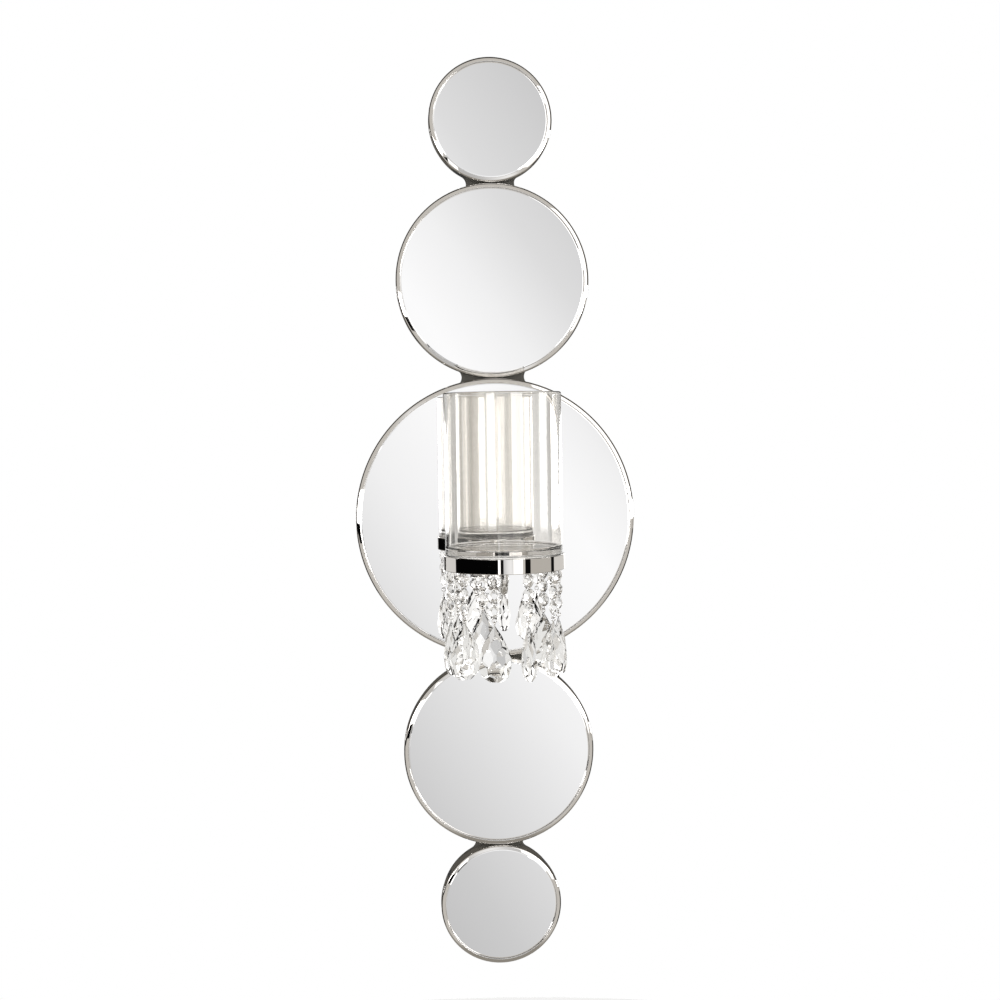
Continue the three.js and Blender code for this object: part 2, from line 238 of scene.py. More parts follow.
def studioLight(tree):
    direction = tree.add("ShaderNodeTexCoord")
    x, y, z = [tree.add("ShaderNodeSeparateXYZ", {}, {0: direction}, i) for i in range(3)]
    azimuth = tree.sum("ARCTAN2", x, 0 - y) * (180 / math.pi)
    elevation = tree.sum("ARCSINE", z) * (180 / math.pi)
    fromFront = tree.sum("ARCCOSINE", 0 - y) * (180 / math.pi)

    light = card(tree, azimuth, elevation)
    outside = tree.smooth(tree.sum("ABSOLUTE", azimuth), *studio["besideFrom"])
    outside = tree.sum("MAXIMUM", outside, tree.smooth(elevation, *studio["aboveFrom"]))
    outside = tree.sum("MAXIMUM", outside, tree.smooth(0 - elevation, *studio["belowFrom"]))
    light = tree.mix(outside, light, grey(*studio["beside"]))
    behind = tree.smooth(fromFront, *studio["surroundTo"])
    surround = tree.smooth(fromFront, *studio["surroundFrom"]) * (1 - behind)
    light = tree.mix(surround, light, grey(*studio["surround"]))
    light = tree.mix(behind, light, grey(*studio["behind"]))

    ceiling = tree.smooth(elevation, *studio["ceilingFrom"])
    light = tree.mix(ceiling, light, grey(*studio["ceiling"]))
    ground = 1 - tree.smooth(elevation, *studio["groundFrom"])
    light = tree.mix(ground, light, grey(*studio["ground"]))

    belt = tree.window(elevation, *studio["beltRange"], studio["beltEdge"])
    for start, end, level, warmth in studio["belt"]:
        patch = tree.window(azimuth, start, end, studio["patchEdge"])
        light = tree.mix(patch * belt, light, grey(level, warmth))
    sideEdge, topEdge = studio["boxEdges"]
    for start, end, low, high, level in studio["boxes"]:
        box = tree.window(azimuth, start, end, sideEdge) * tree.window(elevation, low, high, topEdge)
        light = tree.mix(box, light, (*[level * share for share in studio["boxTint"]], 1))
    return light, elevation


def makeStudio():
    world = bpy.data.worlds.new("studio")
    world.use_nodes = True
    world.node_tree.nodes.clear()
    tree = Nodes(world.node_tree)
    pattern, elevation = studioLight(tree)
    rays = ["Is Camera Ray", "Is Diffuse Ray", "Is Transmission Ray"]
    isCamera, isDiffuse, isTransmission = [tree.add("ShaderNodeLightPath", output=name) for name in rays]
    above = tree.smooth(elevation, *studio["throughRise"])
    through = tree.mix(above, studio["throughFront"], studio["throughAbove"])
    lifted = tree.mix(isTransmission * studio["throughGlass"], pattern, through)
    plain = tree.sum("MAXIMUM", isCamera, isDiffuse)
    light = tree.mix(plain, lifted, (1, 1, 1, 1))
    background = tree.add("ShaderNodeBackground", {}, {"Color": light, "Strength": 1.0})
    tree.add("ShaderNodeOutputWorld", values={"Surface": background})
    bpy.context.scene.world = world
    bpy.context.scene.view_settings.view_transform = "Standard"


# Materials


def newMaterial(name):
    material = bpy.data.materials.new(name)
    material.use_nodes = True
    material.node_tree.nodes.clear()
    return material, Nodes(material.node_tree)


def shade(material, tree, values):
    surface = tree.add("ShaderNodeBsdfPrincipled", {}, values)
    tree.add("ShaderNodeOutputMaterial", values={"Surface": surface})


def chromeFinish():
    material, tree = newMaterial("chrome")
    haze = tree.noise(90, 4)
    shade(material, tree, {
        "Base Color": tree.mix(haze, (0.82, 0.80, 0.78, 1), (0.86, 0.845, 0.825, 1)),
        "Metallic": 1.0,
        "Roughness": 0.008 + haze * 0.012,
    })
    return material


def mirrorFinish():
    material, tree = newMaterial("silvered_mirror")
    cloud = tree.noise(6, 2)
    specks = tree.smooth(tree.noise(2600, 1), 0.74, 0.8)
    shade(material, tree, {
        "Base Color": tree.mix(cloud, (0.965, 0.962, 0.966, 1), (0.975, 0.973, 0.977, 1)),
        "Metallic": 1.0,
        "Roughness": specks * 0.04,
    })
    return material


glassLook = {
    "clear": (0.99, 0.988, 0.98, 1),
    # dark and pale: colours of the painted reflection streaks on the glass wall, standing in for the studio
    # mirrored in it
    "dark": (0.83, 0.815, 0.79, 1),
    "pale": (0.95, 0.94, 0.92, 1),
    "wallFrom": (-0.019, -0.016),  # heights in metres: clear base below, wall with painted reflection streaks above
    "painted_reflection_streaks": (0.35, 0.62),
    "ior": 1.58,
}


def glassFinish():
    material, tree = newMaterial("clear_glass")
    cloud = tree.noise(25, 2, (1, 1, 0.3))
    # painted reflections: vertical dark and pale streaks in the wall's base colour; the base below stays
    # clear
    painted_reflection_streaks = tree.smooth(tree.noise(70, 1, (1, 1, 0.03)), *glassLook["painted_reflection_streaks"])
    height = tree.add("ShaderNodeSeparateXYZ", {}, {0: tree.add("ShaderNodeTexCoord", output=3)}, 2)
    wall = tree.smooth(height, *glassLook["wallFrom"])
    painted_reflection_colour = tree.mix(painted_reflection_streaks, glassLook["dark"], glassLook["pale"])
    shade(material, tree, {
        "Base Color": tree.mix(wall, glassLook["clear"], painted_reflection_colour),
        "Roughness": 0.0,
        "IOR": glassLook["ior"],
        "Transmission Weight": 1.0,
        "Normal": tree.bump(cloud, 0.0006, 0.25),
    })
    return material


def seedFinish():
    material, tree = newMaterial("glass_seeds")
    cloud = tree.noise(400, 1)
    shade(material, tree, {
        "Base Color": tree.mix(cloud, (0.95, 0.95, 0.94, 1), (1, 1, 1, 1)),
        "Roughness": 0.0,
        "IOR": 0.67,
        "Transmission Weight": 1.0,
    })
    return material


def crystalFinish():
    material, tree = newMaterial("cut_crystal")
    cloud = tree.noise(120, 2)
    shade(material, tree, {
        "Base Color": tree.mix(cloud, (0.975, 0.97, 0.96, 1), (0.995, 0.993, 0.985, 1)),
        "Roughness": 0.0,
        "IOR": 1.43,
        "Transmission Weight": 1.0,
    })
    return material


def boardPaint():
    material, tree = newMaterial("dark_board_paint")
    orangePeel = tree.noise(900, 3)
    patches = tree.noise(14, 4)
    shade(material, tree, {
        "Base Color": tree.mix(patches, (0.085, 0.08, 0.067, 1), (0.105, 0.1, 0.085, 1)),
        "Roughness": 0.42 + patches * 0.25,
        "Normal": tree.bump(orangePeel, 0.00012, 0.5),
    })
    return material


def fibreFinish():
    material, tree = newMaterial("raw_fibreboard")
    fibres = tree.noise(600, 5, (1, 0.2, 1))
    shade(material, tree, {
        "Base Color": tree.mix(fibres, (0.25, 0.17, 0.1, 1), (0.42, 0.3, 0.19, 1)),
        "Roughness": 0.7 + fibres * 0.25,
        "Normal": tree.bump(fibres, 0.0001, 0.6),
    })
    return material


def zincFinish():
    material, tree = newMaterial("zinc_plated_steel")
    spangle = tree.noise(160, 4)
    brushed = tree.noise(500, 2, (1, 1, 0.05))
    shade(material, tree, {
        "Base Color": tree.mix(spangle, (0.5, 0.5, 0.48, 1), (0.66, 0.66, 0.65, 1)),
        "Metallic": 1.0,
        "Roughness": 0.24 + spangle * 0.16,
        "Normal": tree.bump(brushed, 0.00002, 0.6),
    })
    return material


makeStudio()
chrome = chromeFinish()
mirror = mirrorFinish()
glass = glassFinish()
seeds = seedFinish()
crystal = crystalFinish()
paint = boardPaint()
fibre = fibreFinish()
zinc = zincFinish()
print("studio and materials made")


# Mesh tools


def toObject(bm, name, materials, sharpDegrees):
    bmesh.ops.scale(bm, vec=(mm, mm, mm), verts=bm.verts)
    mesh = bpy.data.meshes.new(name)
    bm.to_mesh(mesh)
    bm.free()
    for material in materials:
        mesh.materials.append(material)
    mesh.shade_smooth()
    mesh.set_sharp_from_angle(angle=math.radians(sharpDegrees))
    piece = bpy.data.objects.new(name, mesh)
    bpy.context.collection.objects.link(piece)
    if sharpDegrees:  # the flat walls stay flat up to their rounded edges
        weighted = piece.modifiers.new("flat_walls", "WEIGHTED_NORMAL")
        weighted.mode = "FACE_AREA"
        weighted.weight = 50
        weighted.keep_sharp = True
    return piece


def finish(bm, name, material, replaced=(), body="sconce", sharpDegrees=30):
    piece = toObject(bm, name, [material], sharpDegrees)
    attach(piece, body)
    if replaced:
        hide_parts(*replaced)


def nodeBox(name):  # lowest and highest corner of a CAD node, in millimetres
    low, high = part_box(name)
    return low / mm, high / mm


def heal(bm):
    bmesh.ops.remove_doubles(bm, verts=bm.verts, dist=0.0005)
    bmesh.ops.recalc_face_normals(bm, faces=bm.faces)


def turned(points, rounds={}, steps=48, closed=False, segments=5):  # (radius, height) points round Z
    bm = bmesh.new()
    corners = [bm.verts.new((radius, 0, height)) for radius, height in points]
    for start, end in zip(corners, corners[1:] + corners[:1] if closed else corners[1:]):
        bm.edges.new((start, end))
    for place, radius in rounds.items():
        bmesh.ops.bevel(bm, geom=[corners[place]], offset=radius, segments=segments, profile=0.5,
                        affect="VERTICES", material=-1)
    bmesh.ops.spin(bm, geom=bm.verts[:] + bm.edges[:], cent=(0, 0, 0), axis=(0, 0, 1),
                   angle=2 * math.pi, steps=steps, use_merge=True)
    heal(bm)
    return bm


def outward(bm, x=0, z=0):  # turns a piece's axis out of the wall, and moves it over the wall
    bmesh.ops.rotate(bm, cent=(0, 0, 0), matrix=Matrix.Rotation(math.pi / 2, 3, "X"), verts=bm.verts)
    bmesh.ops.translate(bm, vec=(x, 0, z), verts=bm.verts)
    return bm


def cylinder(radius, bottom, top, steps=48):
    return turned([(0, bottom), (radius, bottom), (radius, top), (0, top)], steps=steps)


def block(low, high):
    bm = bmesh.new()
    bmesh.ops.create_cube(bm, size=1)
    bmesh.ops.scale(bm, vec=Vector(high) - Vector(low), verts=bm.verts)
    bmesh.ops.translate(bm, vec=(Vector(low) + Vector(high)) / 2, verts=bm.verts)
    return bm


def looseObject(bm):
    mesh = bpy.data.meshes.new("loose")
    bm.to_mesh(mesh)
    bm.free()
    piece = bpy.data.objects.new("loose", mesh)
    bpy.context.collection.objects.link(piece)
    return piece


def carve(bm, *cutters):
    blank = looseObject(bm)
    tools = [looseObject(cutter) for cutter in cutters]
    for tool in tools:
        blank.modifiers.new("cut", "BOOLEAN").object = tool
    whole = blank.evaluated_get(bpy.context.evaluated_depsgraph_get())
    carved = bmesh.new()
    carved.from_mesh(whole.to_mesh())
    for piece in [blank, *tools]:
        bpy.data.objects.remove(piece)
    return carved


def ringEdges(made):  # the new loop that an extrusion left
    verts = [item for item in made["geom"] if isinstance(item, bmesh.types.BMVert)]
    fresh = set(verts)
    return verts, [edge for vert in verts for edge in vert.link_edges if set(edge.verts) <= fresh]


def grow(bm, ring, move=(0, 0, 0), factor=1.0):  # extrudes a ring, moved, then scaled about its middle
    verts, edges = ringEdges(bmesh.ops.extrude_edge_only(bm, edges=list(set(ring))))
    bmesh.ops.translate(bm, vec=move, verts=verts)
    middle = sum((vert.co for vert in verts), Vector()) / len(verts)
    bmesh.ops.scale(bm, vec=(factor,) * 3, space=Matrix.Translation(-middle), verts=verts)
    return list(set(edges))


def closeRing(bm, ring):
    bmesh.ops.contextual_create(bm, geom=ring)


def crossRecess(width, depth, top):  # the two bars that cut a cross slot into a screw head
    half = width / 2
    reach = width * 1.9
    return [
        block((-half, -reach, top - depth), (half, reach, top + depth)),
        block((-reach, -half, top - depth), (reach, half, top + depth)),
    ]


# Mirror bands, mirrors and backers

band = {
    "wall": 1.5,
    "lip": 4,
    "lipDepth": 1.5,
    "edge": (1.2, 1.6),  # width and drop of the sloping outer edge
    "tilt": 0.6,
    "rounds": {0: 0.3, 1: 0.3, 2: 0.6, 3: 0.5, 4: 0.35, 5: 0.3},  # radius at each corner of its section
    "steps": 200,
}


def makeBand(place):
    low, high = nodeBox(f"mirror_band_{place}")
    radius = (high.x - low.x) / 2
    back, front = -high.y, -low.y
    wall = radius - band["wall"]
    lip = radius - band["lip"]
    under = front - band["lipDepth"]
    edge, drop = band["edge"]
    points = [
        (wall, back),
        (radius, back),
        (radius, front - drop),
        (radius - edge, front - band["tilt"]),
        (lip, front),
        (lip, under),
        (wall, under),
    ]
    bm = outward(turned(points, band["rounds"], band["steps"], closed=True), z=(low.z + high.z) / 2)
    finish(bm, f"chrome_band_{place}", chrome, [f"mirror_band_{place}"])


pane = {
    "bevelWidth": 3.4,
    "bevelDepth": 0.5,
    "rounds": {1: 0.2, 2: 0.12, 3: 0.15},
    "sharpDegrees": 3.5,
    "steps": 200,
    "armHole": 3,
}


def makePane(place):
    low, high = nodeBox(f"mirror_{place}")
    radius = (high.x - low.x) / 2
    back, front = -high.y, -low.y
    points = [
        (0, back),
        (radius, back),
        (radius, front - pane["bevelDepth"]),
        (radius - pane["bevelWidth"], front),
        (0, front),
    ]
    bm = outward(turned(points, pane["rounds"], pane["steps"], segments=3), z=(low.z + high.z) / 2)
    if place == "centre":
        bm = carve(bm, outward(cylinder(pane["armHole"], back - 2, front + 2), z=armHeight))
    finish(bm, f"mirror_pane_{place}", mirror, [f"mirror_{place}"],
           sharpDegrees=pane["sharpDegrees"])


rosetteLow, rosetteHigh = nodeBox("arm_rosette")
armHeight = (rosetteLow.z + rosetteHigh.z) / 2
for place in discPlaces:
    makeBand(place)
    makePane(place)
    backer = frame["nodes"][f"mirror_backer_{place}"].data.materials
    backer.clear()
    backer.append(fibre)
print("mirrors and their bands made")


# Back board: one outline of five discs with filleted necks

board = {
    "inset": 1.5,
    "fillet": 8,
    "edge": 0.7,
    "stepDegrees": 2.5,
    "nutPocket": (8.5, 6.8),  # radius and depth
    "platePocket": (20.6, 44.6, 1.8),  # width, height and depth
    "headRoom": 5.3,  # room for a wall screw's head behind each plate
    "headTravel": 11,
    "headDepth": 8,
    "pilot": (1.9, 8.3),
    "past": 1,  # how far a cutter runs past the face that it opens
    "through": 20,
}


def arcOn(bm, vert, centre, sweep):  # carries the outline on round a centre, and gives its new end
    made = bmesh.ops.spin(bm, geom=[vert], cent=centre, axis=(0, 1, 0), angle=-sweep,
                          steps=max(3, round(abs(math.degrees(sweep)) / board["stepDegrees"])))
    return next(item for item in made["geom_last"] if isinstance(item, bmesh.types.BMVert))


def boardOutline(bm):
    rounds = []
    for place in discPlaces:
        low, high = nodeBox(f"mirror_band_{place}")
        rounds.append(((low.z + high.z) / 2, (high.x - low.x) / 2 - board["inset"]))
    fillet = board["fillet"]
    vert = bm.verts.new((0, 0, rounds[0][0] + rounds[0][1]))
    start = math.pi / 2
    for (height, radius), (nextHeight, nextRadius) in zip(rounds, rounds[1:]):
        apart = height - nextHeight
        down = (apart ** 2 + (radius + fillet) ** 2 - (nextRadius + fillet) ** 2) / (2 * apart)
        across = math.sqrt((radius + fillet) ** 2 - down ** 2)
        end = math.atan2(-down, across)
        vert = arcOn(bm, vert, (0, 0, height), end - start)
        start = math.atan2(apart - down, across)
        vert = arcOn(bm, vert, (across, 0, height - down), start - end)
    height, radius = rounds[-1]
    arcOn(bm, vert, (0, 0, height), -math.pi / 2 - start)


def makeBoard():
    low, high = nodeBox("back_board")
    bm = bmesh.new()
    boardOutline(bm)
    bmesh.ops.mirror(bm, geom=bm.verts[:] + bm.edges[:], matrix=Matrix.Identity(4),
                     axis="X", merge_dist=0.001)
    bmesh.ops.remove_doubles(bm, verts=bm.verts, dist=0.005)
    face = bmesh.ops.contextual_create(bm, geom=bm.edges[:])["faces"]
    made = bmesh.ops.extrude_face_region(bm, geom=face)["geom"]
    front = [item for item in made if isinstance(item, bmesh.types.BMVert)]
    bmesh.ops.translate(bm, vec=(0, low.y, 0), verts=front)
    heal(bm)
    rims = [edge for edge in bm.edges if abs(edge.verts[0].co.y - edge.verts[1].co.y) < 0.001]
    bmesh.ops.bevel(bm, geom=rims, offset=board["edge"], segments=3, profile=0.5, affect="EDGES", material=-1)
    bm = carve(bm, *boardCutters())
    finish(bm, "painted_board", paint, ["back_board"])


def boardCutters():
    radius, depth = board["nutPocket"]
    past = board["past"]
    cutters = [
        outward(cylinder(radius, -past, depth), z=armHeight),
        outward(cylinder(pane["armHole"], -past, board["through"]), z=armHeight),
    ]
    width, length, thickness = board["platePocket"]
    pilotRadius, pilotDepth = board["pilot"]
    for side in ["left", "right"]:
        low, high = nodeBox(f"hanger_plate_{side}")
        x, z = (low.x + high.x) / 2, (low.z + high.z) / 2
        cutters.append(block((x - width / 2, -thickness, z - length / 2),
                             (x + width / 2, past, z + length / 2)))
        room = board["headRoom"]
        reach = board["headTravel"] / 2 + room
        cutters.append(block((x - room, -board["headDepth"], z - reach), (x + room, past / 2, z + reach)))
        for height in screwHeights(side):
            cutters.append(outward(cylinder(pilotRadius, -past, pilotDepth, 24), x, height))
    return cutters


def screwHeights(side):
    boxes = [nodeBox(f"hanger_screw_{side}_{place}") for place in ["upper", "lower"]]
    return [(low.z + high.z) / 2 for low, high in boxes]


makeBoard()
print("board made")


# Keyhole hangers and screws

hanger = {
    "corner": 3,
    "entry": 4.8,
    "slot": 2.4,
    "travel": 11,
    "sink": [(0, -0.3), (3.6, -0.3), (1.9, 1.5), (1.9, 3), (0, 3)],  # section of a countersunk screw hole
}
screw = {
    "head": 3.0,
    "headTop": 0.05,
    "headDepth": 1.5,
    "shank": 1.6,
    "core": 1.25,
    "threads": 7,
    "threadGap": 0.3,
    "length": 8,
    "point": 1.8,
    "slot": 0.85,
    "slotDepth": 1.0,
}


def makeHanger(side):
    low, high = nodeBox(f"hanger_plate_{side}")
    x, z = (low.x + high.x) / 2, (low.z + high.z) / 2
    bm = block(low, high)
    upright = [edge for edge in bm.edges if abs(edge.verts[0].co.y - edge.verts[1].co.y) > 0.1]
    bmesh.ops.bevel(bm, geom=upright, offset=hanger["corner"], segments=6, profile=0.5,
                    affect="EDGES", material=-1)
    travel = hanger["travel"] / 2
    through = (-1, high.y - low.y + 1)
    cutters = [
        outward(cylinder(hanger["entry"], *through), x, z - travel),
        block((x - hanger["slot"], -3, z - travel), (x + hanger["slot"], 1, z + travel)),
        outward(cylinder(hanger["slot"], *through), x, z + travel),
    ]
    for height in screwHeights(side):
        cutters.append(outward(turned(hanger["sink"], steps=32), x, height))
    bm = carve(bm, *cutters)
    finish(bm, f"keyhole_plate_{side}", zinc, [f"hanger_plate_{side}"])


def threadProfile(core, crest, start, end, turns):  # a screw thread seen from the side, as ridges
    pitch = (end - start) / turns
    points = []
    for turn in range(turns):
        points += [(core, start + turn * pitch), (crest, start + (turn + 0.5) * pitch)]
    return points


def makeScrews(side):
    x = sum(corner.x for corner in nodeBox(f"hanger_plate_{side}")) / 2
    for place, height in zip(["upper", "lower"], screwHeights(side)):
        headTop, headDepth = screw["headTop"], screw["headDepth"]
        threadTop = screw["length"] - screw["point"]
        points = [(0, headTop), (screw["head"], headTop), (screw["shank"], headDepth)]
        points += threadProfile(screw["core"], screw["shank"], headDepth + screw["threadGap"],
                                threadTop, screw["threads"])
        points += [(screw["core"], threadTop), (0, screw["length"])]
        bm = turned(points, steps=32)
        bm = carve(bm, *crossRecess(screw["slot"], screw["slotDepth"], headTop))
        finish(outward(bm, x, height), f"plate_screw_{side}_{place}", zinc,
               [f"hanger_screw_{side}_{place}"])


for side in ["left", "right"]:
    makeHanger(side)
    makeScrews(side)
print("hangers made")


# Arm, rosette, washer and nut

arm = {
    "rod": 3.2,
    "thread": 2.5,
    "core": 2.1,
    "threadPitch": 0.8,
    "bend": 12,
    "bendSteps": 20,
    "sides": 40,
    "chamfer": 0.4,
    "neck": [(1.4, 1.12), (0.6, 1.35)],  # rise and growth of each step below the flange
    "flange": 14,
    "flangeDepth": 3,
    "flangeEdge": 0.5,
    "tapped": 1.8,
    "tappedDepth": 12,
}


def makeArm():
    low, high = nodeBox("arm")
    reach = -sum(corner.y for corner in nodeBox("glass_pan")) / 2
    shoulder = -rosetteHigh.y
    bm = bmesh.new()
    bmesh.ops.create_circle(bm, segments=arm["sides"], radius=arm["core"])
    outward(bm, z=armHeight)
    bmesh.ops.translate(bm, vec=(0, high.y, 0), verts=bm.verts)
    ring = bm.edges[:]
    closeRing(bm, ring)
    rod, core, chamfer = arm["rod"], arm["core"], arm["chamfer"]
    turns = int((shoulder + high.y - 1) / arm["threadPitch"])
    for _ in range(turns):
        ring = grow(bm, ring, (0, -arm["threadPitch"] / 2, 0), arm["thread"] / core)
        ring = grow(bm, ring, (0, -arm["threadPitch"] / 2, 0), core / arm["thread"])
    ring = grow(bm, ring, (0, -(shoulder + high.y - turns * arm["threadPitch"]), 0))
    ring = grow(bm, ring, factor=(rod - chamfer) / core)
    ring = grow(bm, ring, (0, -chamfer, 0), rod / (rod - chamfer))
    ring = grow(bm, ring, (0, -(reach - arm["bend"] - shoulder - chamfer), 0))
    verts = list({vert for edge in ring for vert in edge.verts})
    made = bmesh.ops.spin(bm, geom=verts + ring, cent=(0, arm["bend"] - reach, armHeight + arm["bend"]),
                          axis=(1, 0, 0), angle=-math.pi / 2, steps=arm["bendSteps"])
    ring = [item for item in made["geom_last"] if isinstance(item, bmesh.types.BMEdge)]
    flange, flangeEdge = arm["flange"], arm["flangeEdge"]
    neckRise = sum(rise for rise, _ in arm["neck"])
    ring = grow(bm, ring, (0, 0, high.z - arm["flangeDepth"] - armHeight - arm["bend"] - neckRise))
    wide = rod
    for rise, growth in arm["neck"]:
        ring = grow(bm, ring, (0, 0, rise), growth)
        wide *= growth
    ring = grow(bm, ring, factor=(flange - flangeEdge) / wide)
    ring = grow(bm, ring, (0, 0, flangeEdge), flange / (flange - flangeEdge))
    ring = grow(bm, ring, (0, 0, arm["flangeDepth"] - 2 * flangeEdge))
    ring = grow(bm, ring, (0, 0, flangeEdge), (flange - flangeEdge) / flange)
    ring = grow(bm, ring, factor=arm["tapped"] / (flange - flangeEdge))
    ring = grow(bm, ring, (0, 0, -arm["tappedDepth"]))
    closeRing(bm, ring)
    heal(bm)
    finish(bm, "swan_arm", chrome, ["arm"])


rosette = {
    "bore": 3.7,
    "rim": 1.5,
    "rounds": {0: 0.3, 1: 0.3, 2: 0.5, 3: 0.5, 4: 1.2, 5: 0.6, 6: 0.4},
    "steps": 96,
}


def makeRosette():
    radius = (rosetteHigh.x - rosetteLow.x) / 2
    back, front = -rosetteHigh.y, -rosetteLow.y
    bore = rosette["bore"]
    points = [
        (bore, back),
        (radius, back),
        (radius, back + rosette["rim"]),
        (radius - 1.2, back + 1.9),
        (radius * 0.7, back + 3.4),
        (bore + 1.4, front),
        (bore, front),
    ]
    bm = turned(points, rosette["rounds"], rosette["steps"], closed=True)
    finish(outward(bm, z=armHeight), "wall_rosette", chrome, ["arm_rosette"])


washer = {"rounds": {0: 0.2, 1: 0.35, 2: 0.2, 3: 0.2}, "steps": 64}
nut = {"bore": 2.8, "chamfer": 0.5}


def makeWasher():
    low, high = nodeBox("arm_washer")
    radius = (high.x - low.x) / 2
    back, front = -high.y, -low.y
    points = [(pane["armHole"], back), (radius, back), (radius, front), (pane["armHole"], front)]
    bm = turned(points, washer["rounds"], washer["steps"], closed=True)
    finish(outward(bm, z=armHeight), "steel_washer", zinc, ["arm_washer"])


def makeNut():
    low, high = nodeBox("arm_nut")
    back, front = -high.y, -low.y
    radius = max(high.x - low.x, high.z - low.z) / 2
    bm = bmesh.new()
    bmesh.ops.create_cone(bm, cap_ends=True, segments=6, radius1=radius, radius2=radius, depth=front - back)
    bmesh.ops.translate(bm, vec=(0, 0, (front + back) / 2), verts=bm.verts)
    bmesh.ops.bevel(bm, geom=bm.verts[:], offset=nut["chamfer"], segments=2, profile=0.5,
                    affect="VERTICES", material=-1)
    bm = carve(bm, cylinder(nut["bore"], back - 2, front + 2, 40))
    bmesh.ops.rotate(bm, cent=(0, 0, 0), matrix=Matrix.Rotation(math.pi / 6, 3, "Z"), verts=bm.verts)
    finish(outward(bm, z=armHeight), "hex_nut", zinc, ["arm_nut"])


makeArm()
makeRosette()
makeWasher()
makeNut()
print("arm made")


# Pan and its screw

pan = {
    "wall": 1.4,
    "skirt": 6.5,
    "floor": 1.5,
    "rounds": {1: 0.6, 2: 0.5, 3: 0.5, 4: 0.5, 5: 0.5, 6: 0.3},
    "steps": 180,
    "screwHole": 1.8,
    "screwHead": 3.3,
}
panScrew = {
    "point": (1.1, 0.5),  # radius and height of the taper at its end
    "radius": 1.5,
    "core": 1.2,
    "threadFrom": 0.8,
    "threads": 16,
    "head": 3,
    "headTop": 0.05,
    "slot": 0.8,
    "slotDepth": 0.9,
}
panLow, panHigh = nodeBox("glass_pan")
cupCentre = Vector((0, (panLow.y + panHigh.y) / 2, 0))
floorBottom = panLow.z + pan["skirt"]
floorTop = floorBottom + pan["floor"]


def atCup(bm):
    bmesh.ops.translate(bm, vec=cupCentre, verts=bm.verts)
    return bm


def makePan():
    radius = (panHigh.x - panLow.x) / 2
    inner = radius - pan["wall"]
    points = [
        (0, floorBottom),
        (inner, floorBottom),
        (inner, panLow.z),
        (radius, panLow.z),
        (radius, panHigh.z),
        (inner, panHigh.z),
        (inner, floorTop),
        (0, floorTop),
    ]
    bm = turned(points, pan["rounds"], pan["steps"])
    hole, head = pan["screwHole"], pan["screwHead"]
    sink = turned([(0, floorBottom - 1), (hole, floorBottom - 1), (hole, floorBottom),
                   (head, floorTop), (head, floorTop + 1), (0, floorTop + 1)])
    finish(atCup(carve(bm, sink)), "chrome_pan", chrome, ["glass_pan"])


def makePanScrew():
    low, high = nodeBox("pan_screw")
    radius = panScrew["radius"]
    tip, taper = panScrew["point"]
    top = high.z - panScrew["headTop"]
    points = [(0, low.z), (tip, low.z), (radius, low.z + taper)]
    points += threadProfile(panScrew["core"], radius, low.z + panScrew["threadFrom"],
                            floorBottom, panScrew["threads"])
    points += [(radius, floorBottom), (panScrew["head"], top), (0, top)]
    bm = carve(turned(points, steps=40), *crossRecess(panScrew["slot"], panScrew["slotDepth"], top))
    finish(atCup(bm), "countersunk_screw", zinc, ["pan_screw"])


makePan()
makePanScrew()
print("pan made")


# Glass and the seeds in its wall

cup = {"wall": 3, "base": 10, "foot": 0.9, "rim": 1.4, "inside": 2.2, "dish": 0.8, "steps": 200}
seedSpots = {"count": 360, "size": (0.09, 0.3), "margin": 0.7, "seed": 11}
glassLow, glassHigh = nodeBox("glass_cup")


def makeGlass():
    radius = (glassHigh.x - glassLow.x) / 2
    inner = radius - cup["wall"]
    base = glassLow.z + cup["base"]
    points = [
        (0, glassLow.z),
        (radius, glassLow.z),
        (radius, glassHigh.z),
        (inner, glassHigh.z),
        (inner, base),
        (inner * 0.6, base - cup["dish"] * 0.4),
        (0, base - cup["dish"]),
    ]
    bm = turned(points, {1: cup["foot"], 2: cup["rim"], 3: cup["rim"], 4: cup["inside"], 5: 8}, cup["steps"])
    finish(atCup(bm), "hurricane_glass", glass, ["glass_cup"], body="glass")


def makeSeeds():
    draw = random.Random(seedSpots["seed"])
    radius = (glassHigh.x - glassLow.x) / 2
    margin = seedSpots["margin"]
    bm = bmesh.new()
    for _ in range(seedSpots["count"]):
        size = draw.uniform(*seedSpots["size"])
        around = draw.uniform(0, 2 * math.pi)
        out = draw.uniform(radius - cup["wall"] + margin, radius - margin)
        height = draw.uniform(glassLow.z + 2, glassHigh.z - 2)
        stretch = Matrix.Diagonal((size, size, size * draw.uniform(1, 1.9), 1))
        place = Matrix.Translation((out * math.cos(around), out * math.sin(around), height))
        bmesh.ops.create_icosphere(bm, subdivisions=1, radius=1, matrix=place @ stretch)
    finish(atCup(bm), "glass_seeds", seeds, body="glass", sharpDegrees=80)


makeGlass()
makeSeeds()
print("glass made")


# Crystal strands: an eye under the pan, a chain of three beads, and a drop

eye = {"radius": 1.9, "wire": 0.45, "foot": 1.3, "play": 0.02}
link = {"radius": 1.8, "wire": 0.38, "rim": 0.5}  # rim: half the wire that the CAD's ring has
bead = {
    "width": 11.6,
    "thickness": 6.4,
    "gap": 0.7,
    "count": 3,
    "blank": 8,  # half the side of the block that it is ground from
    "girdle": 0.7,
    "crown": 38,  # slopes of its facets, in degrees
    "star": 20,
    "starAt": (0.5, 0.93),  # shares of its half width and half thickness
    "joinRadius": 1.9,
    "turn": 24,
    "seed": 5,
}
drop = {
    "width": 28.5,
    "thickness": 13,
    "height": 47,
    "rows": [(0.12, 1), (0.34, 0), (0.56, 1), (0.78, 0), (0.94, 1)],  # share of its height, half turn or not
    "sides": 8,
    "foot": 0.985,
    "edgeOn": [2, 3, 5, 7, 9],
    "edgeOnTurn": 75,
    "turn": 4,
    "seed": 3,
}


